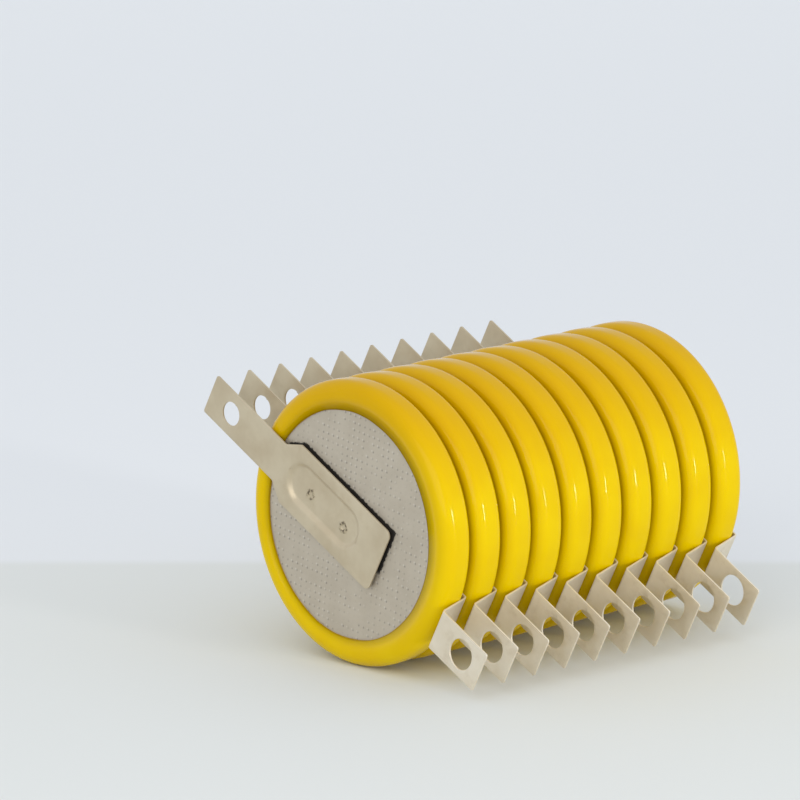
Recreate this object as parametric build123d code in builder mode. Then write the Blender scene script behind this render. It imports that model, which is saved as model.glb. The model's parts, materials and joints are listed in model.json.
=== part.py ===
"""A row of ten tabbed lithium coin cells, 2430 size, standing face to face on their rims.

Each cell is a crimped steel can with a dished cap, a sealing gasket and its chemistry, covered by a
heat-shrunk sleeve.  A solder tab is spot-welded to each pole: the front one stays flat, the rear one
turns forward along the rim and out again, so both holed ends of a cell lie in one plane.

Frame: +Z up, the row's axis lies along Y, the caps face -Y, and the sleeves rest on z = 0.
Units are millimetres.
"""

import os
from math import cos, radians, sin

from build123d import *

# The cell: 2430 size, 24.5 mm across and up to 3.0 mm high
CELL_RADIUS = 12.25
CELL_HEIGHT = 2.8
SHEET = 0.25

# The row
CELLS = 10
CELL_GAP = 0.02

# The tabs: nickel-plated strip
TAB_SHEET = 0.15
TAB_SLOPE = 28.0
FRONT_STAND_OFF = 0.48
REAR_STAND_OFF = 0.28
WIDE_WIDTH = 6.2
NECK_WIDTH = 3.88
WELD_END = 4.9
SHOULDER_START = 7.6
SHOULDER_END = 9.2
WELD_END_ROUNDING = 0.6
SHOULDER_ROUNDING = 0.5
TIP_ROUNDING = 0.2

FRONT_TAB_SHIFT = -0.2
FRONT_TAB_REACH = 19.0
FRONT_HOLE_REACH = 16.05
FRONT_HOLE_RADIUS = 1.05

REAR_TAB_SHIFT = -0.9
REAR_TAB_REACH = 19.2
REAR_HOLE_REACH = 16.6
REAR_HOLE_RADIUS = 1.35
REAR_CREASE = 12.25
LUG_CREASE = 13.2
CREASE_RADIUS = 0.2

# The pressed trough that holds the two spot welds
TROUGH_LENGTH = 9.9
TROUGH_WIDTH = 4.2
TROUGH_REACH = 3.05
TROUGH_BEVEL = 0.5

# The sleeve: heat-shrunk film
SLEEVE_WALL = 0.12
SLEEVE_PLAY = 0.01
FRONT_LIP_RADIUS = 9.9
REAR_LIP_RADIUS = 10.2
FRONT_ROUNDING = 1.2
REAR_ROUNDING = 1.0

# The can and its crimp
CRIMP_DROP = 0.1
CRIMP_RADIUS = 11.05
CRIMP_ROUNDING = 1.15

# The cap and its skirt
CAP_RADIUS = 10.75
CAP_STEP = 0.97
CAP_ROUNDINGS = [0.45, 0.15, 0.4]
SKIRT_RADIUS = 11.55
SKIRT_DEPTH = 1.85

# The gasket
GASKET_WALL = 0.4
GASKET_PLAY = 0.02
GASKET_FOOT_RADIUS = 10.95
GASKET_TOP_RADIUS = 10.82
GASKET_ROUNDINGS = [0.76, 0.9]

# The chemistry
COLLECTOR_SHEET = 0.05
COLLECTOR_RADIUS = 9.95
COLLECTOR_WALL = 0.8
COLLECTOR_ROUNDINGS = [0.1]
PELLET_RADIUS = 9.85
PELLET_PLAY = 0.01
SEPARATOR_RADIUS = 10.2
SEPARATOR_SHEET = 0.06
LITHIUM_RADIUS = 9.2
LITHIUM_SHEET = 0.53

# Worked out: depths are measured back from the front of a cell's front tab
CAP_FACE = FRONT_STAND_OFF
CAN_FACE = FRONT_STAND_OFF + CELL_HEIGHT
SLOT_DEPTH = CAN_FACE + REAR_STAND_OFF
PITCH = SLOT_DEPTH + CELL_GAP
ROW_LENGTH = CELLS * PITCH - CELL_GAP
SLEEVE_RADIUS = CELL_RADIUS + SLEEVE_PLAY + SLEEVE_WALL
TROUGH_DEPTH = FRONT_STAND_OFF - TAB_SHEET


def cell_front(number):
    """World Y of the front of a cell's front tab."""
    return (number - 1) * PITCH - ROW_LENGTH / 2


def section_plane(front):
    """Half section through a cell: x runs out along the radius, y runs back along the axis."""
    return Plane(origin=(0, front, SLEEVE_RADIUS), x_dir=(1, 0, 0), z_dir=(0, 0, 1))


def cell_axis(front):
    return Axis((0, front, SLEEVE_RADIUS), (0, 1, 0))


def tab_plane(front, depth):
    """Plane across a cell at a depth: x runs down towards the rear lug, z comes forward."""
    slope = radians(TAB_SLOPE)
    return Plane(
        origin=(0, front + depth, SLEEVE_RADIUS),
        x_dir=(cos(slope), 0, -sin(slope)),
        z_dir=(0, -1, 0),
    )


def revolved_sheet(front, path, roundings, sheet, side):
    """Turn a strip of even thickness, laid along one side of a rounded path, about the cell's axis."""
    with BuildPart() as shell:
        with BuildSketch(section_plane(front)):
            with BuildLine():
                FilletPolyline(*path, radius=roundings)
                offset(amount=sheet, side=side)
            make_face()
        revolve(axis=cell_axis(front))
    return shell.part


def disc(front, depth, radius, sheet):
    """A flat round piece whose front face is at a depth."""
    with BuildPart() as plate:
        with BuildSketch(tab_plane(front, depth)):
            Circle(radius)
        extrude(amount=-sheet)
    return plate.part


def make_sleeve(front):
    inner_radius = CELL_RADIUS + SLEEVE_PLAY
    front_lip = CAP_FACE - SLEEVE_PLAY
    rear_lip = CAN_FACE + SLEEVE_PLAY
    path = [
        (FRONT_LIP_RADIUS, front_lip),
        (inner_radius, front_lip),
        (inner_radius, rear_lip),
        (REAR_LIP_RADIUS, rear_lip),
    ]
    roundings = [FRONT_ROUNDING, REAR_ROUNDING]
    return revolved_sheet(front, path, roundings, SLEEVE_WALL, Side.RIGHT)


def make_can(front):
    crimp = CAP_FACE + CRIMP_DROP
    path = [(0, CAN_FACE), (CELL_RADIUS, CAN_FACE), (CELL_RADIUS, crimp), (CRIMP_RADIUS, crimp)]
    roundings = [REAR_ROUNDING, CRIMP_ROUNDING]
    return revolved_sheet(front, path, roundings, SHEET, Side.RIGHT)


def make_cap(front):
    step = CAP_FACE + CAP_STEP
    path = [
        (0, CAP_FACE),
        (CAP_RADIUS, CAP_FACE),
        (CAP_RADIUS, step),
        (SKIRT_RADIUS, step),
        (SKIRT_RADIUS, CAP_FACE + SKIRT_DEPTH),
    ]
    return revolved_sheet(front, path, CAP_ROUNDINGS, SHEET, Side.LEFT)


def make_gasket(front):
    outer_radius = CELL_RADIUS - SHEET - GASKET_PLAY
    floor = CAN_FACE - SHEET - GASKET_PLAY
    top = CAP_FACE + CRIMP_DROP + SHEET + GASKET_PLAY
    path = [
        (GASKET_FOOT_RADIUS, floor),
        (outer_radius, floor),
        (outer_radius, top),
        (GASKET_TOP_RADIUS, top),
    ]
    return revolved_sheet(front, path, GASKET_ROUNDINGS, GASKET_WALL, Side.RIGHT)


def make_collector(front):
    floor = CAN_FACE - SHEET
    path = [(0, floor), (COLLECTOR_RADIUS, floor), (COLLECTOR_RADIUS, floor - COLLECTOR_WALL)]
    return revolved_sheet(front, path, COLLECTOR_ROUNDINGS, COLLECTOR_SHEET, Side.RIGHT)


def make_core(front):
    """Gasket, current collector, cathode pellet, separator and lithium disc, as five loose solids."""
    lithium_front = CAP_FACE + SHEET
    separator_front = lithium_front + LITHIUM_SHEET
    pellet_front = separator_front + SEPARATOR_SHEET
    pellet_rear = CAN_FACE - SHEET - COLLECTOR_SHEET
    pellet_height = pellet_rear - PELLET_PLAY - pellet_front
    pieces = [
        make_gasket(front),
        make_collector(front),
        disc(front, pellet_front, PELLET_RADIUS, pellet_height),
        disc(front, separator_front, SEPARATOR_RADIUS, SEPARATOR_SHEET),
        disc(front, lithium_front, LITHIUM_RADIUS, LITHIUM_SHEET),
    ]
    return Compound(children=pieces)


def tab_outline(shift, reach, hole_reach, hole_radius):
    """Sketch of a tab towards +x: wide welded part, sloping shoulders, narrow neck, holed tip."""
    half_wide = WIDE_WIDTH / 2
    half_neck = NECK_WIDTH / 2
    corners = [
        (-WELD_END, shift - half_wide),
        (SHOULDER_START, shift - half_wide),
        (SHOULDER_END, shift - half_neck),
        (reach, shift - half_neck),
        (reach, shift + half_neck),
        (SHOULDER_END, shift + half_neck),
        (SHOULDER_START, shift + half_wide),
        (-WELD_END, shift + half_wide),
    ]
    half = [WELD_END_ROUNDING, SHOULDER_ROUNDING, SHOULDER_ROUNDING, TIP_ROUNDING]
    roundings = half + half[::-1]
    with BuildSketch(mode=Mode.PRIVATE) as outline:
        with BuildLine():
            FilletPolyline(*corners, radius=roundings, close=True)
        make_face()
        with Locations((hole_reach, shift)):
            Circle(hole_radius, mode=Mode.SUBTRACT)
    return outline.sketch


def trough(top, bottom, shift, grow):
    """Slot-shaped block with bevelled walls between two planes of a tab."""
    with BuildPart() as block:
        with BuildSketch(top):
            with Locations((TROUGH_REACH, shift)):
                SlotOverall(TROUGH_LENGTH + grow, TROUGH_WIDTH + grow)
        with BuildSketch(bottom):
            with Locations((TROUGH_REACH, shift)):
                SlotOverall(
                    TROUGH_LENGTH + grow - 2 * TROUGH_BEVEL,
                    TROUGH_WIDTH + grow - 2 * TROUGH_BEVEL,
                )
        loft(ruled=True)
    return block.part


def flipped(plane):
    """The same plane turned half a turn in itself, for the tab that points the other way."""
    return Plane(origin=plane.origin, x_dir=-plane.x_dir, z_dir=plane.z_dir)


def make_front_tab(front):
    """Flat tab on the cap, pointing up and away from the rear lug."""
    face = flipped(tab_plane(front, 0))
    back = flipped(tab_plane(front, TAB_SHEET))
    trough_floor = flipped(tab_plane(front, TROUGH_DEPTH))
    weld_face = flipped(tab_plane(front, CAP_FACE))
    shift = -FRONT_TAB_SHIFT
    outline = tab_outline(shift, FRONT_TAB_REACH, FRONT_HOLE_REACH, FRONT_HOLE_RADIUS)
    bulge = trough(back, weld_face, shift, TAB_SHEET)
    hollow = trough(face, trough_floor, shift, 0)
    with BuildPart() as tab:
        with BuildSketch(face):
            add(outline)
        extrude(amount=-TAB_SHEET)
        add(bulge)
        add(hollow, mode=Mode.SUBTRACT)
    return tab.part


def make_rear_tab(front):
    """Tab on the can that turns forward beside the sleeve and out again as a lug in the front plane."""
    rear_face = CAN_FACE + REAR_STAND_OFF
    path = [
        (-WELD_END, rear_face),
        (REAR_CREASE, rear_face),
        (LUG_CREASE, TAB_SHEET),
        (REAR_TAB_REACH, TAB_SHEET),
    ]
    edge = tab_plane(front, 0)
    across = Plane(origin=edge.origin, x_dir=edge.x_dir, z_dir=edge.y_dir)
    half_strip = WIDE_WIDTH / 2 - REAR_TAB_SHIFT
    outline = tab_outline(REAR_TAB_SHIFT, REAR_TAB_REACH, REAR_HOLE_REACH, REAR_HOLE_RADIUS)
    back = tab_plane(front, rear_face)
    face = tab_plane(front, rear_face - TAB_SHEET)
    weld_face = tab_plane(front, CAN_FACE)
    trough_floor = tab_plane(front, CAN_FACE + TAB_SHEET)
    bulge = trough(face, weld_face, REAR_TAB_SHIFT, TAB_SHEET)
    hollow = trough(back, trough_floor, REAR_TAB_SHIFT, 0)
    with BuildPart() as tab:
        with BuildSketch(across):
            with BuildLine():
                FilletPolyline(*path, radius=CREASE_RADIUS)
                offset(amount=TAB_SHEET, side=Side.RIGHT)
            make_face()
        extrude(amount=half_strip, both=True)
        with BuildSketch(back):
            add(outline)
        extrude(amount=rear_face, mode=Mode.INTERSECT)
        add(bulge)
        add(hollow, mode=Mode.SUBTRACT)
    return tab.part


os.makedirs("parts", exist_ok=True)

MAKERS = {
    "sleeve": make_sleeve,
    "can": make_can,
    "cap": make_cap,
    "core": make_core,
    "front_tab": make_front_tab,
    "rear_tab": make_rear_tab,
}

for number in range(1, CELLS + 1):
    for piece, make in MAKERS.items():
        node = f"cell_{number:02d}_{piece}"
        solid = make(cell_front(number))
        solid.label = node
        export_step(solid, f"parts/{node}.step")
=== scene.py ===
"""The looks of a row of ten tabbed lithium coin cells in sleeves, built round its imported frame."""
import json
from math import cos, hypot, pi, radians, sin

import bmesh
import bpy
from mathutils import Matrix, Vector, noise

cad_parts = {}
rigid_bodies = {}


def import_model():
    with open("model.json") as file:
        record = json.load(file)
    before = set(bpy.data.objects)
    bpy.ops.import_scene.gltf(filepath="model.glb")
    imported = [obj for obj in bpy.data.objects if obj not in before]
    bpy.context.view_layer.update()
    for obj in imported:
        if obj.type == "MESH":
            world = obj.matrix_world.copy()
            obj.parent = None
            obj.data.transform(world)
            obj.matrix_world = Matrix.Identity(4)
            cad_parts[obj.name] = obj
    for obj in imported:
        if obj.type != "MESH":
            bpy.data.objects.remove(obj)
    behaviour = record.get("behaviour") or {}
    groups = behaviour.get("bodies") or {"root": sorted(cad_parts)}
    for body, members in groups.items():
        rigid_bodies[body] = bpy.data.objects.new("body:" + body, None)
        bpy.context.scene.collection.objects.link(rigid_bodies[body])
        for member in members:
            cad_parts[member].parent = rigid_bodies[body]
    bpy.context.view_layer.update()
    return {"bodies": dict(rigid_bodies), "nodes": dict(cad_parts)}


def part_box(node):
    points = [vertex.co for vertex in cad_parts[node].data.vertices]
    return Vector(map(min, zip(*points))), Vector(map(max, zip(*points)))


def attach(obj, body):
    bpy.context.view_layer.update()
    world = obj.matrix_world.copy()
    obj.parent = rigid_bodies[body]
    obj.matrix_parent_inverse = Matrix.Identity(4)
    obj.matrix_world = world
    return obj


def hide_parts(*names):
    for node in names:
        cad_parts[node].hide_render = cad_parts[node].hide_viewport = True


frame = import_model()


# ---------------------------------------------------------------------------------------------------
# The row.  Ten loose cells stand on their rims, one behind another along Y, with their caps facing -Y.
# Depths are measured back from the front of a cell's front tab, in millimetres.
# ---------------------------------------------------------------------------------------------------
MM = 0.001
CELLS = sorted(frame["bodies"])

first_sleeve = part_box(CELLS[0] + "_sleeve")
first_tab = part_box(CELLS[0] + "_front_tab")
first_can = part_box(CELLS[0] + "_can")
first_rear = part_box(CELLS[0] + "_rear_tab")
fronts = {cell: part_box(cell + "_front_tab")[0].y / MM for cell in CELLS}
axis_height = (first_sleeve[0].z + first_sleeve[1].z) / 2 / MM
sleeve_radius = (first_sleeve[1].z - first_sleeve[0].z) / 2 / MM
can_radius = (first_can[1].z - first_can[0].z) / 2 / MM
cap_face = (first_tab[1].y - first_tab[0].y) / MM
can_face = (first_can[1].y - first_tab[0].y) / MM
slot_depth = (first_rear[1].y - first_tab[0].y) / MM
lip_front = (first_sleeve[0].y - first_tab[0].y) / MM
lip_rear = (first_sleeve[1].y - first_tab[0].y) / MM


class Wire:
    """A socket in a node tree.  A sum written on wires adds the Math nodes for it."""

    def __init__(self, tree, socket=None):
        self.tree = tree
        self.socket = socket

    def make(self, kind, settings, inputs, output=0):
        """Add a node: its settings first, then the values or links of its sockets."""
        node = self.tree.nodes.new(kind)
        for name, value in settings.items():
            if name == "stops":
                ramp = node.color_ramp.elements
                while len(ramp) < len(value):
                    ramp.new(0.5)
                for element, (place, colour) in zip(ramp, value):
                    element.position = place
                    element.color = colour
            else:
                setattr(node, name, value)
        for name, value in inputs.items():
            if isinstance(value, Wire):
                self.tree.links.new(value.socket, node.inputs[name])
            else:
                node.inputs[name].default_value = value
        return Wire(self.tree, node.outputs[output]) if len(node.outputs) else None

    def math(self, operation, *terms):
        return self.make("ShaderNodeMath", {"operation": operation}, dict(enumerate(terms)))

    def __add__(self, other):
        return self.math("ADD", self, other)

    __radd__ = __add__

    def __sub__(self, other):
        return self.math("SUBTRACT", self, other)

    def __rsub__(self, other):
        return self.math("SUBTRACT", other, self)

    def __mul__(self, other):
        return self.math("MULTIPLY", self, other)

    __rmul__ = __mul__

    def __truediv__(self, other):
        return self.math("DIVIDE", self, other)

    def step(self, low, high):
        """0 below low, 1 above high and smooth between; low may be the larger."""
        settings = {"interpolation_type": "SMOOTHSTEP"}
        return self.make("ShaderNodeMapRange", settings, {0: self, 1: low, 2: high})

    def mix(self, dry, wet):
        """Colour that goes from dry to wet as this goes from 0 to 1."""
        return self.make("ShaderNodeMix", {"data_type": "RGBA"}, {0: self, 6: dry, 7: wet}, 2)


def new_material(name):
    """An empty material, its Principled shader's sockets and a wire to build the rest from."""
    material = bpy.data.materials.new(name)
    material.use_nodes = True
    material.node_tree.nodes.clear()
    return material, Wire(material.node_tree)


def finish_material(net, sockets):
    """One Principled shader with the given sockets, on the material's output."""
    shader = net.make("ShaderNodeBsdfPrincipled", {}, sockets)
    net.make("ShaderNodeOutputMaterial", {}, {"Surface": shader})


def millimetres(net):
    """Object coordinates of a point in millimetres, as separate x, y and z and as one vector."""
    place = net.make("ShaderNodeTexCoord", {}, {}, "Object")
    scaled = net.make("ShaderNodeVectorMath", {"operation": "SCALE"}, {0: place, "Scale": 1 / MM})
    split = net.make("ShaderNodeSeparateXYZ", {}, {0: scaled})
    axes = [Wire(net.tree, socket) for socket in split.socket.node.outputs]
    return scaled, *axes


def noise_at(net, place, scale, detail=3.0, roughness=0.55):
    return net.make(
        "ShaderNodeTexNoise",
        {},
        {"Vector": place, "Scale": scale, "Detail": detail, "Roughness": roughness},
    )


def stretched(net, place, factors):
    return net.make("ShaderNodeVectorMath", {"operation": "MULTIPLY"}, {0: place, 1: factors})


def bump(net, height, strength, distance):
    return net.make(
        "ShaderNodeBump", {}, {"Height": height, "Strength": strength, "Distance": distance * MM}
    )


def settle(name, mesh, cell, node):
    """Put a finished mesh in the row as the look of one CAD node, and let it ride on its cell."""
    piece = bpy.data.objects.new(name, mesh)
    bpy.context.scene.collection.objects.link(piece)
    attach(piece, cell)
    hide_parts(node)
    return piece


def plain_mesh(blank, name):
    """The evaluated shape of a blank as a mesh of its own; the blank is removed."""
    evaluated = blank.evaluated_get(bpy.context.evaluated_depsgraph_get())
    mesh = bpy.data.meshes.new_from_object(evaluated)
    mesh.name = name
    bpy.data.objects.remove(blank)
    return mesh


# ---------------------------------------------------------------------------------------------------
# Sleeves.  A ring of glossy yellow film, shrunk hot over each cell's rim.  It follows the crimp and
# the can's corner, turns in over both faces as a thin lip, and its cut edges stay a little uneven.
# ---------------------------------------------------------------------------------------------------
FILM_WALL = 0.12
FILM_SLACK = 0.02
FRONT_LIP = 9.9
REAR_LIP = 10.2
FRONT_ROUND = 1.1
REAR_ROUND = 0.9
RIM_STEPS = 220


def rounded_path(corners, roundings, steps=9):
    """Points of an open line whose inner corners are round arcs."""
    points = [Vector(corners[0])]
    for before, corner, after, radius in zip(corners, corners[1:], corners[2:], roundings):
        back = (Vector(before) - Vector(corner)).normalized()
        on = (Vector(after) - Vector(corner)).normalized()
        half_turn = back.angle(on) / 2
        reach = radius / sin(half_turn)
        centre = Vector(corner) + (back + on).normalized() * reach
        start = Vector(corner) + back * (reach * cos(half_turn)) - centre
        end = Vector(corner) + on * (reach * cos(half_turn)) - centre
        turn = start.angle(end)
        for index in range(steps + 1):
            share = index / steps
            spoke = (start * sin((1 - share) * turn) + end * sin(share * turn)) / sin(turn)
            points.append(centre + spoke)
    points.append(Vector(corners[-1]))
    return points


def closed_section(path, wall):
    """Outline of a strip of even thickness laid on the left of a path, with rounded cut ends."""
    left = []
    for index, point in enumerate(path):
        along = path[min(index + 1, len(path) - 1)] - path[max(index - 1, 0)]
        left.append(point + Vector((-along.y, along.x)).normalized() * wall)

    def cut_end(start, end):
        middle = (start + end) / 2
        out = Vector((end.y - start.y, start.x - end.x)).normalized() * (-wall / 2)
        return [middle + (start - end) / 2 * cos(turn) + out * sin(turn) for turn in (0.8, 1.57, 2.34)]

    return path + cut_end(path[-1], left[-1]) + left[::-1] + cut_end(left[0], path[0])


def film_section():
    """Half section of the film as a closed curve: x out along the radius, y back along the axis."""
    outer = sleeve_radius - FILM_SLACK - FILM_WALL
    front = lip_front + FILM_SLACK + FILM_WALL
    rear = lip_rear - FILM_SLACK - FILM_WALL
    corners = [(REAR_LIP, rear), (outer, rear), (outer, front), (FRONT_LIP, front)]
    path = rounded_path(corners, [REAR_ROUND, FRONT_ROUND], 12)
    crowned = []
    for point in path:
        bulge = sin(pi * min(max((point.y - front) / (rear - front), 0), 1))
        crowned.append(point + Vector((0.01 * bulge if point.x > outer - 0.3 else 0, 0)))
    outline = closed_section(crowned, FILM_WALL - 0.01)
    curve = bpy.data.curves.new("film section", "CURVE")
    curve.dimensions = "3D"
    spline = curve.splines.new("POLY")
    spline.points.add(len(outline) - 1)
    for vertex, point in zip(spline.points, outline):
        vertex.co = (point.x * MM, point.y * MM, 0, 1)
    spline.use_cyclic_u = True
    return curve


def group_with_inputs(name, floats):
    """A Geometry Nodes tree with a Geometry input, named number inputs and a Material input."""
    tree = bpy.data.node_groups.new(name, "GeometryNodeTree")
    tree.interface.new_socket("Geometry", in_out="INPUT", socket_type="NodeSocketGeometry")
    for label in floats:
        tree.interface.new_socket(label, in_out="INPUT", socket_type="NodeSocketFloat")
    tree.interface.new_socket("Material", in_out="INPUT", socket_type="NodeSocketMaterial")
    tree.interface.new_socket("Geometry", in_out="OUTPUT", socket_type="NodeSocketGeometry")
    entry = Wire(tree).make("NodeGroupInput", {}, {})
    sockets = {socket.name: Wire(tree, socket) for socket in entry.socket.node.outputs if socket.name}
    return tree, Wire(tree), sockets


def close_group(net, geometry, material):
    """End a tree in Realize Instances and Set Material."""
    realized = net.make("GeometryNodeRealizeInstances", {}, {"Geometry": geometry})
    painted = net.make("GeometryNodeSetMaterial", {}, {"Geometry": realized, "Material": material})
    net.make("NodeGroupOutput", {}, {"Geometry": painted})


def shaped(blank, tree, values, name):
    """Run a tree on a blank with its inputs set by socket identifier, and keep the plain mesh."""
    modifier = blank.modifiers.new(tree.name, "NODES")
    modifier.node_group = tree
    for item in tree.interface.items_tree:
        if item.in_out == "INPUT" and item.name in values:
            modifier[item.identifier] = values[item.name]
    return plain_mesh(blank, name)


def film_tree():
    """Sweep the film's section round the rim, uneven as hot shrinking leaves it, and place it."""
    tree, net, inputs = group_with_inputs(
        "shrunk_film", ["Front", "Axis Height", "Slack", "Lip Start", "Lip Wave", "Seed"]
    )
    hoop = net.make("GeometryNodeCurvePrimitiveCircle", {}, {"Resolution": RIM_STEPS, "Radius": 1.0})
    section = inputs["Geometry"]
    swept = net.make("GeometryNodeCurveToMesh", {}, {"Curve": hoop, "Profile Curve": section})
    place = net.make("GeometryNodeInputPosition", {}, {})
    split = net.make("ShaderNodeSeparateXYZ", {}, {0: place}).socket.node.outputs
    x, y, z = (Wire(tree, socket) for socket in split)
    distance = net.math("SQRT", x * x + y * y)
    outward_x = x / distance
    outward_y = y / distance
    radius = distance - 1.0
    ring = net.make("ShaderNodeCombineXYZ", {}, {0: outward_x * 2.2, 1: outward_y * 2.2, 2: z * 260})
    slow = net.make(
        "ShaderNodeTexNoise",
        {"noise_dimensions": "4D"},
        {"Vector": ring, "W": inputs["Seed"], "Scale": 1.0, "Detail": 2.0},
    )
    fine_ring = net.make(
        "ShaderNodeCombineXYZ", {}, {0: outward_x * 9, 1: outward_y * 9, 2: z * 700}
    )
    fine = net.make(
        "ShaderNodeTexNoise",
        {"noise_dimensions": "4D"},
        {"Vector": fine_ring, "W": inputs["Seed"] + 7.0, "Scale": 1.0, "Detail": 3.0},
    )
    lip = radius.step(inputs["Lip Start"], inputs["Lip Start"] - 1.6 * MM)
    uneven = (slow - 0.5) * inputs["Slack"] * 1.1 + (fine - 0.5) * inputs["Slack"] * 0.1
    wave = (slow - 0.5) * inputs["Lip Wave"] * lip
    grown = radius + uneven * (1 - lip) + wave
    depth = uneven * lip * 0.4 - z
    moved = net.make(
        "ShaderNodeCombineXYZ",
        {},
        {
            0: grown * outward_x,
            1: depth + inputs["Front"],
            2: grown * outward_y + inputs["Axis Height"],
        },
    )
    shaped_film = net.make("GeometryNodeSetPosition", {}, {"Geometry": swept, "Position": moved})
    smooth = net.make("GeometryNodeSetShadeSmooth", {}, {"Geometry": shaped_film})
    close_group(net, smooth, inputs["Material"])
    return tree


def film_material():
    """Yellow PVC film: glossy, a little orange where it is thick, faint haze and draw marks, and painted
    shade that makes its top darker amber.
    """
    material, net = new_material("yellow_shrink_film")
    place, x, y, z = millimetres(net)
    up = z - axis_height
    radius = net.math("SQRT", x * x + up * up)
    over_face = radius.step(sleeve_radius - 0.5, sleeve_radius - 1.6)
    # Painted shade: the top of the rim is painted darker and more amber, as the shade that falls on it.
    high = up.step(1.0, 11.5)
    cut_edge = radius.step(FRONT_LIP + 0.16, FRONT_LIP + 0.04)
    blotch = noise_at(net, place, 0.22, 2.0)
    grain = noise_at(net, stretched(net, place, (2.2, 0.5, 2.2)), 1.6, 4.0, 0.6)
    lemon = (0.74, 0.52, 0.0, 1)
    amber = (0.71, 0.48, 0.0, 1)
    colour = blotch.step(0.35, 0.7).mix(lemon, amber)
    # Painted shade: darker amber towards the top of the rim.
    colour = (high * 0.75).mix(colour, (0.58, 0.31, 0.0, 1))
    colour = (over_face * 0.25).mix(colour, (0.66, 0.41, 0.0, 1))
    colour = (cut_edge * 0.6).mix(colour, (0.42, 0.22, 0.004, 1))
    specks = noise_at(net, place, 5.0, 1.0).step(0.74, 0.80)
    colour = (specks * 0.15).mix(colour, (0.62, 0.38, 0.0, 1))
    rough = 0.06 + grain * 0.04 + specks * 0.12 + over_face * 0.05
    ripple = noise_at(net, stretched(net, place, (1.0, 0.4, 1.0)), 0.9, 2.0)
    orange_peel = noise_at(net, place, 7.0, 2.0)
    height = ripple * 0.85 + orange_peel * 0.06
    finish_material(
        net,
        {
            "Base Color": colour,
            "Roughness": rough,
            "IOR": 1.5,
            "Specular IOR Level": 0.09,
            "Coat Weight": 0.03,
            "Coat Roughness": 0.05,
            "Normal": bump(net, height, 0.35, 0.05),
        },
    )
    return material


yellow_film = film_material()
shrunk_film = film_tree()
section_curve = film_section()
for number, cell in enumerate(CELLS):
    blank = bpy.data.objects.new("film blank", section_curve)
    bpy.context.scene.collection.objects.link(blank)
    values = {
        "Front": fronts[cell] * MM,
        "Axis Height": axis_height * MM,
        "Slack": FILM_SLACK * MM,
        "Lip Start": (FRONT_LIP + 1.6) * MM,
        "Lip Wave": 0.22 * MM,
        "Seed": 3.7 * number,
        "Material": yellow_film,
    }
    film = shaped(blank, shrunk_film, values, cell + "_film")
    settle(cell + "_film", film, cell, cell + "_sleeve")


# ---------------------------------------------------------------------------------------------------
# Caps.  The negative pole: pressed stainless steel, its face knurled all over with small pits so that
# a tab welds to it well, its rim rolled down into the gasket.
# ---------------------------------------------------------------------------------------------------
KNURL_FACE = 10.3
KNURL_STEP = 0.13
PIT_PITCH = 0.62
PIT_RADIUS = 0.17
PIT_DEPTH = 0.06
PIT_ROWS_TURN = radians(-7)
CAP_SHEET = 0.25
CAP_RIM = 10.72
CAP_FLANGE = 11.5
CAP_STEP = 0.97
CAP_SKIRT = 1.82
CAP_ROUNDINGS = [0.36, 0.12, 0.35]
ROLL_START = 0.38
STRIP_SLOPE = radians(28.0)
STRIP_SIDE = 2.9
STRIP_END = 4.9
STRIP_SHOULDER = 7.6
# Width and ends of the painted shadow that the front tab casts on the cap.
SCORCH_WIDTH = 0.13
SCORCH_TIP = -9.4
SCORCH_LOW = -1.5


def pit_mask(across, up, reach):
    """1 at the middle of each pit of a square lattice, falling to 0 at reach from it."""
    along_row = (across * cos(PIT_ROWS_TURN) + up * sin(PIT_ROWS_TURN)) / PIT_PITCH
    along_column = (up * cos(PIT_ROWS_TURN) - across * sin(PIT_ROWS_TURN)) / PIT_PITCH
    from_row = along_row.math("FRACT", along_row) - 0.5
    from_column = along_column.math("FRACT", along_column) - 0.5
    distance = from_row.math("SQRT", from_row * from_row + from_column * from_column) * PIT_PITCH
    return distance.step(reach, 0.0)


def pit_tree():
    """Press the knurl's pits into a cap blank's front face, some deeper than others."""
    tree, net, inputs = group_with_inputs(
        "knurled_pits", ["Face Depth", "Axis Height", "Pit Depth", "Edge", "Seed"]
    )
    place = net.make("GeometryNodeInputPosition", {}, {})
    split = net.make("ShaderNodeSeparateXYZ", {}, {0: place}).socket.node.outputs
    x, y, z = (Wire(tree, socket) for socket in split)
    across = x / MM
    up = (z - inputs["Axis Height"]) / MM
    on_face = ((y - inputs["Face Depth"]) / MM).step(0.02, 0.01)
    inside = net.math("SQRT", across * across + up * up).step(inputs["Edge"], inputs["Edge"] - 0.3)
    lattice = net.make("ShaderNodeCombineXYZ", {}, {0: across, 1: up, 2: inputs["Seed"]})
    uneven = net.make("ShaderNodeTexNoise", {}, {"Vector": lattice, "Scale": 0.9, "Detail": 2.0})
    depth = pit_mask(across, up, PIT_RADIUS) * uneven.step(0.3, 0.62) * inputs["Pit Depth"]
    rolling = (noise_at(net, lattice, 0.25, 1.0) - 0.5) * inputs["Pit Depth"] * 0.5
    sunk = (depth + rolling + inputs["Pit Depth"] * 0.25) * on_face * inside
    offset = net.make("ShaderNodeCombineXYZ", {}, {1: sunk})
    pressed = net.make(
        "GeometryNodeSetPosition", {}, {"Geometry": inputs["Geometry"], "Offset": offset}
    )
    close_group(net, pressed, inputs["Material"])
    return tree


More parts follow.
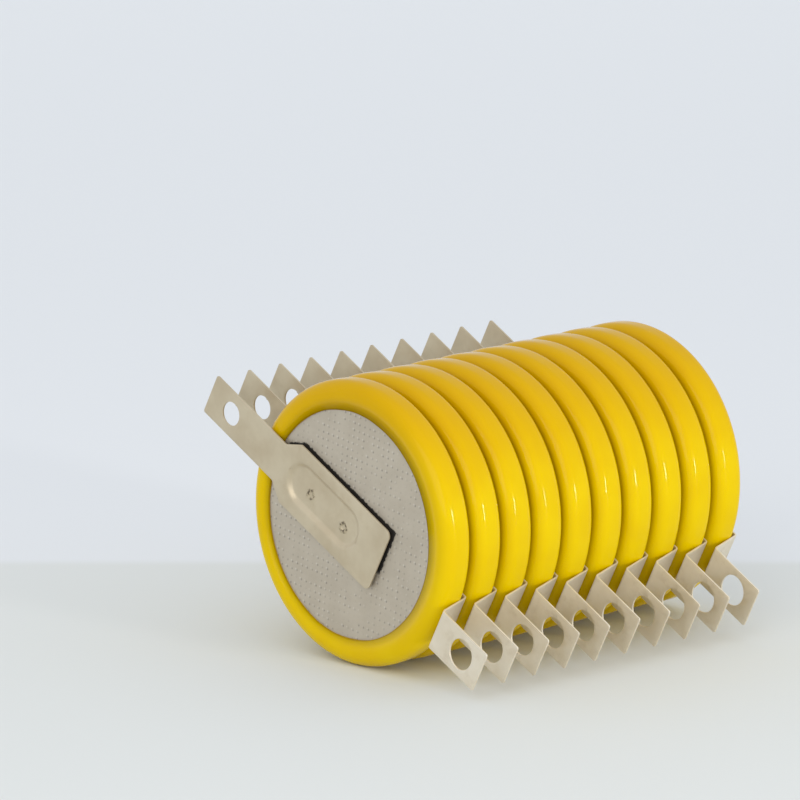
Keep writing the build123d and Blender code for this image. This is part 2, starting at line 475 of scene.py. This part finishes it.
def cap_blank(front):
    """Closed shell of the cap: a finely gridded round face, rolled rim, step, skirt and inner face."""
    shell = bmesh.new()
    count = int(2 * KNURL_FACE / KNURL_STEP) + 2
    corner = -count * KNURL_STEP / 2
    grid = []
    for row in range(count + 1):
        grid.append([])
        for column in range(count + 1):
            across = corner + column * KNURL_STEP
            up = corner + row * KNURL_STEP
            far = hypot(across, up)
            if far > KNURL_FACE + KNURL_STEP:
                grid[-1].append(None)
                continue
            pull = min(1, KNURL_FACE / far) if far > 0 else 1
            grid[-1].append(shell.verts.new((across * pull, cap_face, up * pull)))
    for row in range(count):
        for column in range(count):
            below = grid[row][column : column + 2]
            above = grid[row + 1][column : column + 2]
            present = [vertex for vertex in below + above[::-1] if vertex]
            if len(present) >= 3:
                shell.faces.new(present)
    bmesh.ops.remove_doubles(shell, verts=shell.verts[:], dist=0.02)
    loose = [vertex for vertex in shell.verts if not vertex.link_faces]
    bmesh.ops.delete(shell, geom=loose, context="VERTS")
    step = cap_face + CAP_STEP
    rim_path = [(CAP_RIM - ROLL_START, cap_face), (CAP_RIM, cap_face), (CAP_RIM, step), (CAP_FLANGE, step)]
    rim_path += [(CAP_FLANGE, cap_face + CAP_SKIRT)]
    outside = rounded_path(rim_path, CAP_ROUNDINGS, 5)[1:]
    skirt_inner = CAP_FLANGE - CAP_SHEET
    inner_path = [(skirt_inner, cap_face + CAP_SKIRT), (skirt_inner, step + CAP_SHEET)]
    inner_path += [(CAP_RIM - CAP_SHEET, step + CAP_SHEET), (CAP_RIM - CAP_SHEET, cap_face + CAP_SHEET)]
    edge = [line for line in shell.edges if line.is_boundary]
    for radius, depth in [tuple(point) for point in outside] + inner_path:
        grown = bmesh.ops.extrude_edge_only(shell, edges=edge)["geom"]
        edge = [item for item in grown if isinstance(item, bmesh.types.BMEdge) and item.is_boundary]
        for vertex in {vertex for line in edge for vertex in line.verts}:
            far = hypot(vertex.co.x, vertex.co.z)
            vertex.co = (vertex.co.x * radius / far, depth, vertex.co.z * radius / far)
    bmesh.ops.edgeloop_fill(shell, edges=edge)
    bmesh.ops.recalc_face_normals(shell, faces=shell.faces[:])
    for vertex in shell.verts:
        vertex.co = Vector((vertex.co.x, vertex.co.y + front, vertex.co.z + axis_height)) * MM
    for face in shell.faces:
        face.smooth = len(face.verts) < 5
    mesh = bpy.data.meshes.new("cap blank")
    shell.to_mesh(mesh)
    shell.free()
    return mesh


def knurled_steel():
    """Grey pickled stainless, a warm haze over it, with painted shade in the pits of the knurl, a painted
    highlight beside each pit and a painted shadow of the front tab along its edge.
    """
    material, net = new_material("knurled_steel")
    place, x, y, z = millimetres(net)
    up = z - axis_height
    haze = noise_at(net, place, 0.35, 4.0)
    grit = noise_at(net, place, 14.0, 3.0, 0.7)
    uneven = noise_at(net, place, 1.3, 2.0)
    # Painted shade: many pits of the knurl are painted near black, as the shade inside them; the same mask
    # also makes them rougher.
    pits = pit_mask(x, up, 0.16) * uneven.step(0.38, 0.62)
    # Painted highlight: a pale spot on one side of each pit, where light catches its rim.
    glints = pit_mask(x + 0.14, up - 0.10, 0.15) * uneven.step(0.42, 0.6)
    colour = haze.step(0.3, 0.7).mix((0.48, 0.42, 0.33, 1), (0.54, 0.48, 0.385, 1))
    colour = (grit * 0.35).mix(colour, (0.52, 0.48, 0.42, 1))
    colour = (glints * 0.5).mix(colour, (0.72, 0.69, 0.64, 1))
    colour = (pits * 0.5).mix(colour, (0.13, 0.12, 0.13, 1))
    # Painted shadow: a ragged near-black band on the cap along the front tab's upper long edge and its
    # end, where the tab's shadow falls; there it also makes the cap less metallic and rougher.
    along = x * cos(STRIP_SLOPE) - up * sin(STRIP_SLOPE)
    across = x * sin(STRIP_SLOPE) + up * cos(STRIP_SLOPE)
    past_shoulder = net.math("MAXIMUM", -STRIP_SHOULDER - along, 0.0)
    past_side = across - STRIP_SIDE + past_shoulder * 0.72
    past_edge = net.math("MAXIMUM", past_side, along - STRIP_END)
    fray = (noise_at(net, place, 3.0, 4.0, 0.75) - 0.5) * 0.5
    scorch = (past_edge + fray).step(SCORCH_WIDTH + 0.05, SCORCH_WIDTH - 0.05)
    scorch = scorch * (along + fray).step(SCORCH_TIP - 0.2, SCORCH_TIP + 0.2)
    scorch = scorch * (across + fray).step(SCORCH_LOW - 0.2, SCORCH_LOW + 0.2)
    colour = scorch.mix(colour, (0.012, 0.009, 0.006, 1))
    height = grit * 0.25 + haze * 0.5
    finish_material(
        net,
        {
            "Base Color": colour,
            "Metallic": 0.55 - scorch * 0.5,
            "Roughness": 0.42 + grit * 0.2 + pits * 0.2 + scorch * 0.2,
            "Normal": bump(net, height, 0.25, 0.02),
        },
    )
    return material


grey_knurl = knurled_steel()
knurled_pits = pit_tree()
for number, cell in enumerate(CELLS):
    blank = bpy.data.objects.new("cap blank", cap_blank(fronts[cell]))
    bpy.context.scene.collection.objects.link(blank)
    values = {
        "Face Depth": (fronts[cell] + cap_face) * MM,
        "Axis Height": axis_height * MM,
        "Pit Depth": PIT_DEPTH * MM,
        "Edge": KNURL_FACE,
        "Seed": 5.3 * number,
        "Material": grey_knurl,
    }
    cap = shaped(blank, knurled_pits, values, cell + "_knurled_cap")
    settle(cell + "_knurled_cap", cap, cell, cell + "_cap")


# ---------------------------------------------------------------------------------------------------
# Cans.  The positive pole: a drawn steel cup, bright and smooth, with a shallow coined ring in its
# floor.  Its mouth is crimped over the gasket, out of sight under the film.
# ---------------------------------------------------------------------------------------------------
CAN_SHEET = 0.25
CRIMP_DROP = 0.1
CRIMP_RADIUS = 11.05
COINED_RING = 8.9
COIN_EDGE = 0.25
COIN_FLOOR = 0.08
COIN_DEPTH = 0.035
CAN_ROUNDINGS = [0.98, 1.13]
CAN_STEPS = 144


def can_mesh(front):
    """Turn the can's closed section about the cell's axis."""
    crimp = cap_face + CRIMP_DROP
    coin = [(COINED_RING - COIN_EDGE, 0), (COINED_RING - COIN_FLOOR, -COIN_DEPTH)]
    coin += [(COINED_RING + COIN_FLOOR, -COIN_DEPTH), (COINED_RING + COIN_EDGE, 0)]
    path = [Vector((radius, can_face + depth)) for radius, depth in [(0, 0), (5, 0)] + coin]
    corners = [(10.2, can_face), (can_radius, can_face), (can_radius, crimp), (CRIMP_RADIUS, crimp)]
    path += rounded_path(corners, CAN_ROUNDINGS, 8)
    inner = []
    for index, point in enumerate(path):
        along = path[min(index + 1, len(path) - 1)] - path[max(index - 1, 0)]
        inner.append(point + Vector((along.y, -along.x)).normalized() * CAN_SHEET)
    inner[0].x = 0
    outline = path + inner[::-1]
    can = bmesh.new()
    rings = []
    for point in outline:
        if point.x < 1e-6:
            rings.append([can.verts.new((0, point.y, 0))] * CAN_STEPS)
            continue
        turns = [2 * pi * index / CAN_STEPS for index in range(CAN_STEPS)]
        rings.append(
            [can.verts.new((point.x * cos(turn), point.y, point.x * sin(turn))) for turn in turns]
        )
    for ring, following in zip(rings, rings[1:]):
        for index in range(CAN_STEPS):
            after = (index + 1) % CAN_STEPS
            corners = [ring[index], ring[after], following[after], following[index]]
            can.faces.new(list(dict.fromkeys(corners)))
    bmesh.ops.recalc_face_normals(can, faces=can.faces[:])
    for vertex in can.verts:
        vertex.co = Vector((vertex.co.x, vertex.co.y + front, vertex.co.z + axis_height)) * MM
    for face in can.faces:
        face.smooth = True
    mesh = bpy.data.meshes.new("can")
    can.to_mesh(mesh)
    can.free()
    return mesh


def drawn_steel():
    """Nickel-plated steel with the faint turning marks of the press tool and light scuffs."""
    material, net = new_material("drawn_steel")
    place, x, y, z = millimetres(net)
    up = z - axis_height
    radius = net.math("SQRT", x * x + up * up)
    rings = net.make(
        "ShaderNodeTexNoise", {"noise_dimensions": "1D"}, {"W": radius, "Scale": 9.0, "Detail": 4.0}
    )
    scuffs = noise_at(net, stretched(net, place, (0.5, 1.0, 6.0)), 2.0, 4.0, 0.7).step(0.55, 0.8)
    haze = noise_at(net, place, 0.3, 3.0)
    colour = haze.step(0.3, 0.7).mix((0.55, 0.52, 0.47, 1), (0.62, 0.59, 0.54, 1))
    colour = (scuffs * 0.3).mix(colour, (0.42, 0.40, 0.37, 1))
    finish_material(
        net,
        {
            "Base Color": colour,
            "Metallic": 0.9,
            "Roughness": 0.26 + rings * 0.12 + scuffs * 0.15,
            "Normal": bump(net, rings * 0.5 + scuffs * 0.3, 0.2, 0.02),
        },
    )
    return material


bright_can = drawn_steel()
for cell in CELLS:
    cup = can_mesh(fronts[cell])
    cup.materials.append(bright_can)
    settle(cell + "_drawn_can", cup, cell, cell + "_can")


# ---------------------------------------------------------------------------------------------------
# Chemistry.  Gasket, current collector, cathode pellet, separator and lithium disc, sealed in the can
# as they are in the frame: pressed dark powder is what most of them look like.
# ---------------------------------------------------------------------------------------------------
def pressed_powder():
    """Matt charcoal grey with the grain of pressed manganese dioxide."""
    material, net = new_material("pressed_powder")
    place = millimetres(net)[0]
    grain = noise_at(net, place, 9.0, 5.0, 0.7)
    colour = grain.step(0.3, 0.7).mix((0.03, 0.03, 0.032, 1), (0.09, 0.088, 0.09, 1))
    normal = bump(net, grain, 0.5, 0.03)
    finish_material(net, {"Base Color": colour, "Roughness": 0.75 + grain * 0.2, "Normal": normal})
    return material


dark_powder = pressed_powder()
for cell in CELLS:
    core = frame["nodes"][cell + "_core"]
    core.data.materials.clear()
    core.data.materials.append(dark_powder)


# ---------------------------------------------------------------------------------------------------
# Tabs.  Strips punched from nickel-plated steel, with a trough pressed into the wide end until its
# floor meets the cell, where two spots are welded.  The rear tab turns forward beside the film and
# out again as a lug.  Across and along are measured on the flat strip, before it is bent.
# ---------------------------------------------------------------------------------------------------
STRIP = 0.15
WIDE = 6.2
NECK = 3.88
WELD_END = 4.9
SHOULDERS = (7.6, 9.2)
WELD_END_ROUNDING = 0.6
SHOULDER_ROUNDING = 0.5
TIP_ROUNDING = 0.2
TROUGH_LENGTH = 9.9
TROUGH_WIDTH = 4.2
TROUGH_ALONG = 3.05
TROUGH_BEVEL = 0.62
WELDS = (4.93, 0.35)
WELD_SIDE = 0.3
WELD_SPOT = ((0.58, 0), (0.48, -0.035), (0.40, -0.06), (0.32, -0.02), (0.24, 0.05), (0.13, 0.06))
CUT_STEP = 0.7
CUT_SIDES = (-1.3, -0.45, 0.45, 1.3)
EDGE_BREAK = 0.03
slope = STRIP_SLOPE


def slot_loop(length, width, along, shift, steps=14):
    """Points round a slot with round ends."""
    radius = width / 2
    straight = length / 2 - radius
    points = []
    for side, start in ((1, -pi / 2), (-1, pi / 2)):
        for index in range(steps + 1):
            turn = start + pi * index / steps
            points.append((along + side * straight + radius * cos(turn), shift + radius * sin(turn)))
    return points


def weld_loop(radius, along, shift, seed, steps=20):
    """Points round a weld spot, ragged as molten metal sets."""
    points = []
    for index in range(steps):
        turn = 2 * pi * index / steps
        ragged = noise.noise(Vector((cos(turn) * 1.3, sin(turn) * 1.3, seed)))
        far = radius * (1 + 0.45 * ragged)
        points.append((along + far * cos(turn), shift + far * sin(turn)))
    return points


def tab_edge(shift, reach):
    """Outline of the flat strip, its corners rounded as the punch leaves them."""
    half_wide = WIDE / 2
    half_neck = NECK / 2
    start, end = SHOULDERS
    corners = [(-WELD_END, shift - half_wide), (start, shift - half_wide), (end, shift - half_neck)]
    corners += [(reach, shift - half_neck), (reach, shift + half_neck), (end, shift + half_neck)]
    corners += [(start, shift + half_wide), (-WELD_END, shift + half_wide)]
    middle = (-WELD_END, shift)
    half = [WELD_END_ROUNDING, SHOULDER_ROUNDING, SHOULDER_ROUNDING, TIP_ROUNDING]
    path = rounded_path([middle] + corners + [middle], half + half[::-1], 6)
    return [tuple(point) for point in path[:-1]]


def flat_tab(shift, reach, hole_along, hole_radius, floor_depth, seed, cuts):
    """The strip's middle sheet, with z as depth: pressed trough, weld spots, hole and bend lines."""
    sheet = bmesh.new()

    def ring(points, depth):
        return [sheet.verts.new((along, across, depth)) for along, across in points]

    def closed(vertices):
        pairs = zip(vertices, vertices[1:] + vertices[:1])
        return [sheet.edges.get(pair) or sheet.edges.new(pair) for pair in pairs]

    def bridge(outer, inner):
        count = len(outer)
        for index in range(count):
            after = (index + 1) % count
            sheet.faces.new((outer[index], outer[after], inner[after], inner[index]))

    def slot_ring(share):
        inset = 2 * TROUGH_BEVEL * share
        dip = share * share * (3 - 2 * share)
        points = slot_loop(TROUGH_LENGTH - inset, TROUGH_WIDTH - inset, TROUGH_ALONG, shift)
        return ring(points, floor_depth * dip)

    hole_turns = [2 * pi * index / 40 for index in range(40)]
    hole = [(hole_along + hole_radius * cos(t), shift + hole_radius * sin(t)) for t in hole_turns]
    shares = [index / 7 for index in range(8)]
    slots = [slot_ring(share) for share in shares]
    rims = closed(ring(tab_edge(shift, reach), 0)) + closed(ring(hole, 0)) + closed(slots[0])
    bmesh.ops.triangle_fill(sheet, use_beauty=True, edges=rims, normal=(0, 0, 1))
    for outer, inner in zip(slots, slots[1:]):
        bridge(outer, inner)
    rims = closed(slots[-1])
    for number, along in enumerate(WELDS):
        spots = [
            ring(weld_loop(radius, along, shift + WELD_SIDE, seed + number), floor_depth + lift)
            for radius, lift in WELD_SPOT
        ]
        rims += closed(spots[0])
        for outer, inner in zip(spots, spots[1:]):
            bridge(outer, inner)
        sheet.faces.new(spots[-1])
    bmesh.ops.triangle_fill(sheet, use_beauty=True, edges=rims, normal=(0, 0, 1))
    grid = [index * CUT_STEP for index in range(-7, 30)]
    for along in sorted(grid + list(cuts)):
        everything = sheet.verts[:] + sheet.edges[:] + sheet.faces[:]
        bmesh.ops.bisect_plane(
            sheet, geom=everything, dist=0.0001, plane_co=(along, 0, 0), plane_no=(1, 0, 0)
        )
    for side in CUT_SIDES:
        everything = sheet.verts[:] + sheet.edges[:] + sheet.faces[:]
        bmesh.ops.bisect_plane(
            sheet, geom=everything, dist=0.0001, plane_co=(0, shift + side, 0), plane_no=(0, 1, 0)
        )
    bmesh.ops.recalc_face_normals(sheet, faces=sheet.faces[:])
    if sheet.faces[0].normal.z > 0:
        bmesh.ops.reverse_faces(sheet, faces=sheet.faces[:])
    return sheet


def tab_mesh(sheet, place):
    """Bend the flat sheet into place, give it the strip's thickness and break its sharp edges."""
    for vertex in sheet.verts:
        vertex.co = place(vertex.co)
    for face in sheet.faces:
        face.smooth = True
    mesh = bpy.data.meshes.new("tab sheet")
    sheet.to_mesh(mesh)
    sheet.free()
    blank = bpy.data.objects.new("tab blank", mesh)
    bpy.context.scene.collection.objects.link(blank)
    wall = blank.modifiers.new("wall", "SOLIDIFY")
    wall.thickness = STRIP - 0.012
    wall.offset = 0
    wall.use_even_offset = True
    soft = blank.modifiers.new("broken edge", "BEVEL")
    soft.width = EDGE_BREAK
    soft.segments = 2
    soft.limit_method = "ANGLE"
    soft.angle_limit = radians(55)
    made = plain_mesh(blank, "tab")
    made.transform(Matrix.Scale(MM, 4))
    return made


def in_row(along, across, depth, front):
    """World place, still in millimetres, of a point on a tab that points down to the right."""
    x = along * cos(slope) + across * sin(slope)
    z = axis_height - along * sin(slope) + across * cos(slope)
    return Vector((x, front + depth, z))


FRONT_SHIFT = -0.2
FRONT_REACH = 18.99
FRONT_HOLE = 16.05
FRONT_HOLE_RADIUS = 1.05
REAR_SHIFT = -0.9
REAR_REACH = 19.19
REAR_HOLE = 16.6
REAR_HOLE_RADIUS = 1.35
REAR_CREASE = 12.17
LUG_CREASE = 13.13

rear_depth = slot_depth - STRIP / 2
web_corners = [(-WELD_END, rear_depth), (REAR_CREASE, rear_depth), (LUG_CREASE, STRIP / 2)]
web_corners += [(REAR_REACH, STRIP / 2)]
bend_path = rounded_path(web_corners, [0.27, 0.27], 8)
bend_marks = [-WELD_END]
for before, after in zip(bend_path, bend_path[1:]):
    bend_marks.append(bend_marks[-1] + (after - before).length)
unrolled = bend_marks[-1] - REAR_REACH


def along_bend(travel):
    """Reach and depth of the bent strip's middle after a travel along the flat strip."""
    for index in range(1, len(bend_path) - 1):
        if travel < bend_marks[index]:
            break
    else:
        index = len(bend_path) - 1
    before, after = bend_path[index - 1], bend_path[index]
    share = (travel - bend_marks[index - 1]) / (bend_marks[index] - bend_marks[index - 1])
    point = before.lerp(after, share)
    side = Vector((after.y - before.y, before.x - after.x)).normalized()
    return point, side


def nickel_strip(name, side, weld_across, dull, bright):
    """Satin nickel plate: rolling lines along the strip, warm tarnish, burnt halos at the welds."""
    material, net = new_material(name)
    place, x, y, z = millimetres(net)
    up = z - axis_height
    along = x * cos(slope) - up * sin(slope)
    across = x * sin(slope) + up * cos(slope)
    strip_place = net.make("ShaderNodeCombineXYZ", {}, {0: along * 0.12, 1: across * 5.0, 2: y})
    rolled = noise_at(net, strip_place, 1.6, 4.0, 0.6)
    haze = noise_at(net, place, 0.28, 3.0)
    tarnish = noise_at(net, place, 0.8, 4.0, 0.6).step(0.5, 0.75)
    colour = haze.step(0.3, 0.7).mix(dull, bright)
    colour = (tarnish * 0.3).mix(colour, (0.50, 0.41, 0.27, 1))
    burnt = None
    for spot in WELDS:
        off_along = along - side * spot
        off_across = across - weld_across
        distance = net.math("SQRT", off_along * off_along + off_across * off_across)
        ragged = distance + (noise_at(net, place, 3.5, 4.0, 0.7) - 0.5) * 0.6
        ring = ragged.step(0.58, 0.40) * ragged.step(0.16, 0.30)
        burnt = ring if burnt is None else net.math("MAXIMUM", burnt, ring)
    soot = burnt * noise_at(net, place, 3.2, 2.0).step(0.46, 0.62)
    colour = (burnt * 0.35).mix(colour, (0.36, 0.29, 0.17, 1))
    colour = (soot * 0.8).mix(colour, (0.06, 0.045, 0.03, 1))
    finish_material(
        net,
        {
            "Base Color": colour,
            "Metallic": 0.5,
            "Roughness": 0.30 + rolled * 0.14 + tarnish * 0.12 + soot * 0.3,
            "Normal": bump(net, rolled * 0.4 + haze * 0.8, 0.25, 0.03),
        },
    )
    return material


# The same nickel plate in two copies of different brightness: the rear tab's copy is painted much lighter
# than the front tab's, painted light that brightens the rear lugs.
front_nickel = nickel_strip(
    "front_nickel_strip", -1, FRONT_SHIFT - WELD_SIDE, (0.52, 0.435, 0.30, 1), (0.60, 0.52, 0.375, 1)
)
rear_nickel = nickel_strip(
    "rear_nickel_strip", 1, REAR_SHIFT + WELD_SIDE, (0.72, 0.64, 0.50, 1), (0.80, 0.73, 0.60, 1)
)
bend_cuts = bend_marks[1:-1]
for number, cell in enumerate(CELLS):
    front = fronts[cell]

    def front_place(co):
        sway = noise.noise(Vector((co.x * 0.18, co.y * 0.3, 3.1 * number)))
        return in_row(-co.x, -co.y, STRIP / 2 + co.z + 0.004 * sway, front)

    floor_depth = cap_face - STRIP
    flat = flat_tab(-FRONT_SHIFT, FRONT_REACH, FRONT_HOLE, FRONT_HOLE_RADIUS, floor_depth, number, ())
    strip = tab_mesh(flat, front_place)
    strip.materials.append(front_nickel)
    settle(cell + "_front_strip", strip, cell, cell + "_front_tab")

    def rear_place(co):
        point, side = along_bend(co.x)
        point = point + side * co.z
        return in_row(point.x, co.y, point.y, front)

    flat = flat_tab(
        REAR_SHIFT,
        REAR_REACH + unrolled,
        REAR_HOLE + unrolled,
        REAR_HOLE_RADIUS,
        slot_depth - STRIP - can_face,
        number + 40,
        bend_cuts,
    )
    strip = tab_mesh(flat, rear_place)
    strip.materials.append(rear_nickel)
    settle(cell + "_rear_strip", strip, cell, cell + "_rear_tab")


# ---------------------------------------------------------------------------------------------------
# Stage.  A plain pale floor, soft light from a large panel on the right and one overhead, and a long
# lens that looks down on the row from its right front.
# ---------------------------------------------------------------------------------------------------
HEADING = radians(46.3)
ELEVATION = radians(13.4)
CAMERA_DISTANCE = 812.0
VIEW_WIDTH = 68.7
SIDEWAYS = -0.122
UPWARDS = 0.115


def spot_at(heading, elevation, distance):
    """A point round the row, by heading from its front and height, in millimetres."""
    flat = distance * cos(elevation)
    return Vector((flat * sin(heading), -flat * cos(heading), axis_height + distance * sin(elevation)))


def aim(thing, place, target):
    thing.location = place * MM
    thing.rotation_euler = (target - place).to_track_quat("-Z", "Y").to_euler()


middle = Vector((0, 0, axis_height))

lens = bpy.data.cameras.new("camera")
lens.sensor_width = 36.0
lens.lens = CAMERA_DISTANCE / VIEW_WIDTH * 36.0
lens.shift_x = SIDEWAYS
lens.shift_y = UPWARDS
lens.clip_start = 0.05
lens.clip_end = 20.0
camera = bpy.data.objects.new("camera", lens)
bpy.context.scene.collection.objects.link(camera)
aim(camera, spot_at(HEADING, ELEVATION, CAMERA_DISTANCE), middle)
bpy.context.scene.camera = camera


def soft_panel(name, heading, elevation, distance, width, height, watts, colour):
    """A rectangular soft light that points at the row."""
    light = bpy.data.lights.new(name, "AREA")
    light.shape = "RECTANGLE"
    light.size = width * MM
    light.size_y = height * MM
    light.energy = watts
    light.color = colour
    panel = bpy.data.objects.new(name, light)
    bpy.context.scene.collection.objects.link(panel)
    aim(panel, spot_at(radians(heading), radians(elevation), distance), middle)


soft_panel("right panel", 94, 7, 420, 40, 80, 0.6, (1.0, 0.98, 0.94))
soft_panel("front panel", 25, 22, 520, 420, 320, 0.75, (1.0, 0.97, 0.93))
soft_panel("top panel", 30, 82, 480, 420, 420, 0.1, (0.97, 0.98, 1.0))

floor_mesh = bpy.data.meshes.new("floor")
FLOOR_REACH = 4000.0
floor_mesh.from_pydata(
    [(x * FLOOR_REACH * MM, y * FLOOR_REACH * MM, 0) for x, y in ((-1, -1), (1, -1), (1, 1), (-1, 1))],
    [],
    [(0, 1, 2, 3)],
)
floor = bpy.data.objects.new("floor", floor_mesh)
bpy.context.scene.collection.objects.link(floor)


def floor_material():
    """Pale matt board, a shade bluer behind the row than in front of it."""
    material, net = new_material("pale_board")
    place, x, y, z = millimetres(net)
    away = x * (-sin(HEADING)) + y * cos(HEADING)
    behind = away.step(23.5, 26.5)
    far = away.step(60.0, 700.0)
    colour = behind.mix((0.73, 0.75, 0.735, 1), (0.79, 0.81, 0.83, 1))
    colour = far.mix(colour, (0.97, 0.99, 1.0, 1))
    finish_material(net, {"Base Color": colour, "Roughness": 0.7, "Specular IOR Level": 0.2})
    return material


floor_mesh.materials.append(floor_material())

world = bpy.data.worlds.new("studio")
world.use_nodes = True
world.node_tree.nodes["Background"].inputs["Color"].default_value = (0.93, 0.96, 1.0, 1)
world.node_tree.nodes["Background"].inputs["Strength"].default_value = 0.88
bpy.context.scene.world = world
bpy.context.scene.view_settings.view_transform = "Standard"
